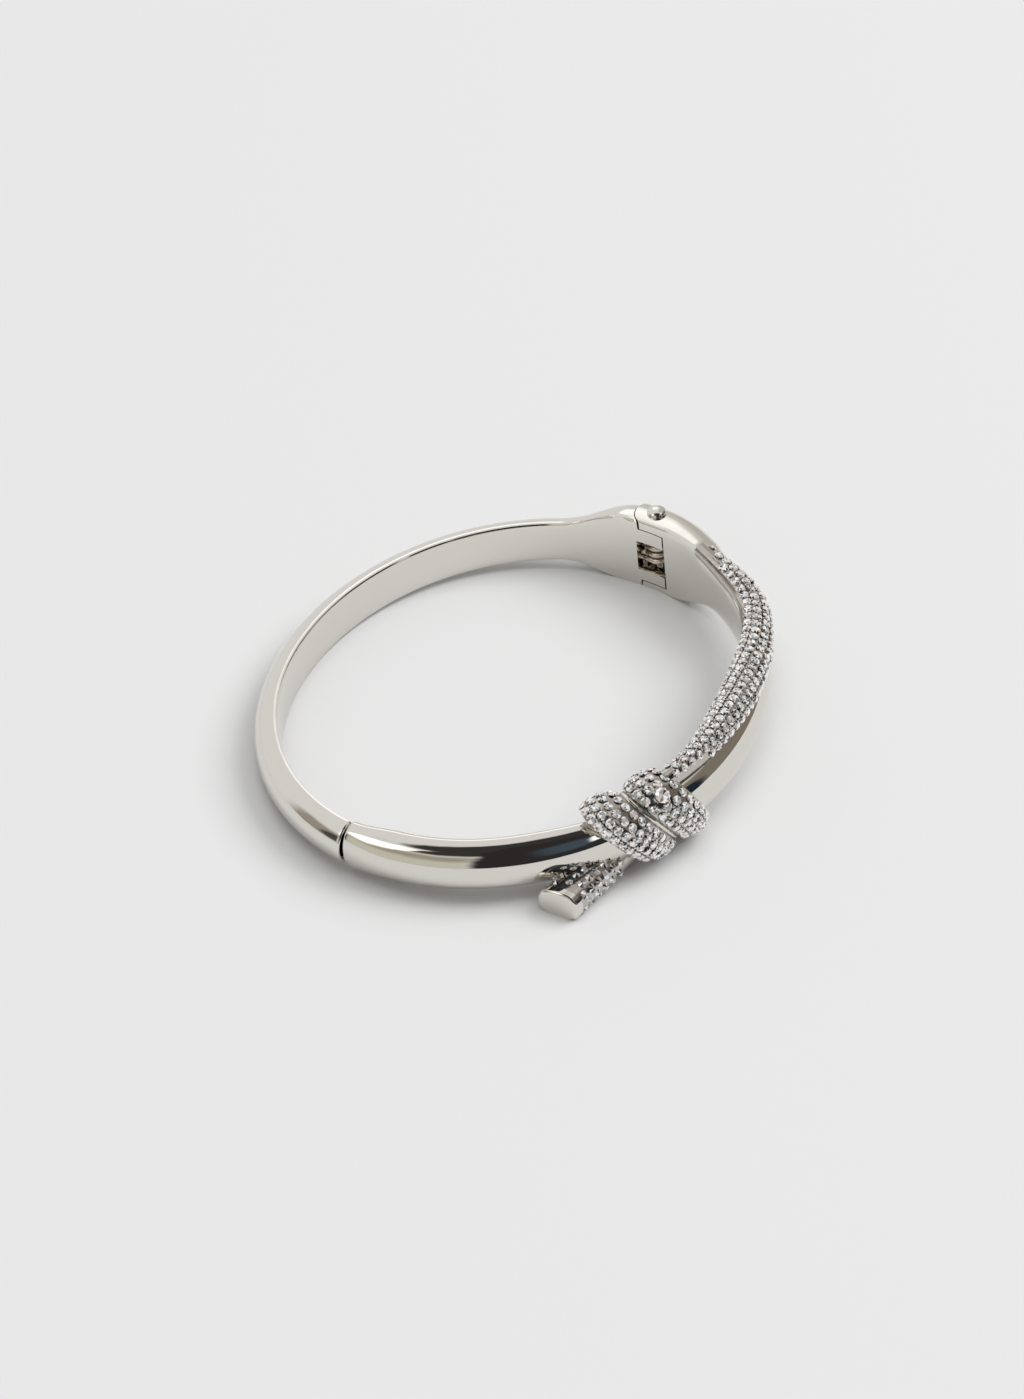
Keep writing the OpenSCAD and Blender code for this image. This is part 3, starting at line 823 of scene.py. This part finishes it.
north = sum_node("ARCTAN2", parts.outputs["X"], sum_node("MULTIPLY", parts.outputs["Y"], -1.0))
flat = sum_node("SQRT", sum_node("ADD", sum_node("POWER", parts.outputs["X"], 2.0),
                                 sum_node("POWER", parts.outputs["Y"], 2.0)))
azimuth = sum_node("MULTIPLY", north, 180 / math.pi)
height = sum_node("MULTIPLY", sum_node("ARCTAN2", parts.outputs["Z"], flat), 180 / math.pi)


def rise(value, at, soft):
    step = add(room, "ShaderNodeMapRange", _interpolation_type="SMOOTHSTEP", Value=value,
               From__Min=at - soft, From__Max=at + soft)
    return step.outputs["Result"]


def window(under, az, el, soft, tone, strength=1.0):
    """Lays a soft-edged part of the room over the colour under it."""
    inside = 1.0
    for value, (low, high) in ((azimuth, az), (height, el)):
        inside = sum_node("MULTIPLY", rise(value, low, soft), inside)
        inside = sum_node("MULTIPLY", rise(sum_node("MULTIPLY", value, -1.0), -high, soft), inside)
    mix = add(room, "ShaderNodeMix", _data_type="RGBA")
    room.links.new(inside, mix.inputs[0])
    if isinstance(under, bpy.types.NodeSocket):
        room.links.new(under, mix.inputs[6])
    else:
        mix.inputs[6].default_value = under
    mix.inputs[7].default_value = [c * strength for c in linear(tone)[:3]] + [1.0]
    return mix.outputs[2]


seen = linear("#EBEAEA")
for az, el, soft, tone, strength in (
        ((-125, -62), (-95, 49), 5, "#D2CFC3", 1.0),     # tan wall
        ((-112, -62), (30, 52), 8, "#A9A294", 1.0),      # its shaded top
        ((-152, -120), (-12, 34), 6, "#A39C92", 1.0),    # things on a shelf
        ((-133, -121), (6, 27), 3, "#4E484E", 1.0),
        ((10, 82), (-14, 52), 9, "#857D72", 1.0),        # shaded right side
        ((8, 33), (-16, 34), 3, "#1F2B38", 1.0),
        ((80, 124), (-15, 60), 9, "#C6C3BB", 1.0),
        ((-400, 400), (71, 200), 3, "#3A3836", 1.0),     # ceiling
        ((-107, 14), (57, 200), 4, "#3B3937", 1.0),
        ((-62, 2), (-4, 200), 3, "#312E30", 1.0),        # camera side
        ((-34, -16), (18, 56), 6, "#46525E", 1.0),       # a cold gleam in it
        ((-17.5, -13.5), (24, 48), 1.5, "#FFFFFF", 1.5),
        ((-133, -108), (38, 66), 3, "#FFFDF6", 1.7),     # softbox on the left
        ((128, 140), (30, 41), 3, "#FFFFFF", 1.4)):
    seen = window(seen, az, el, soft, tone, strength)
plain = add(room, "ShaderNodeBackground", Color=linear("#FFFFFF"), Strength=0.36)
mirror = add(room, "ShaderNodeBackground", Color=seen, Strength=1.0)
ray = add(room, "ShaderNodeLightPath")
both = add(room, "ShaderNodeMixShader", Fac=ray.outputs["Is Glossy Ray"])
room.links.new(plain.outputs[0], both.inputs[1])
room.links.new(mirror.outputs[0], both.inputs[2])
add(room, "ShaderNodeOutputWorld", Surface=both.outputs[0])
print("room nodes:", len(room.nodes))

# %% lamps
def lamp(name, azimuth, elevation, distance, size, power_w, tint="#FFFFFF"):
    """A square soft lamp that looks at the bangle. Azimuth is counted as the camera's is."""
    a, e = math.radians(azimuth), math.radians(elevation)
    way = Vector((math.sin(a) * math.cos(e), -math.cos(a) * math.cos(e), math.sin(e)))
    light = bpy.data.lights.new(name, "AREA")
    light.size, light.energy, light.color = size, power_w, linear(tint)[:3]
    made = bpy.data.objects.new(name, light)
    bpy.context.collection.objects.link(made)
    made.location = way * distance
    made.rotation_mode = "QUATERNION"
    made.rotation_quaternion = way.to_track_quat("Z", "Y")
    return made


for soft_lamp in (lamp("soft_lamp_right", 50, 46, 3.0, 1.9, 52.0),
                  lamp("soft_lamp_above", 0, 88, 3.0, 2.0, 26.0)):
    soft_lamp.visible_glossy = False
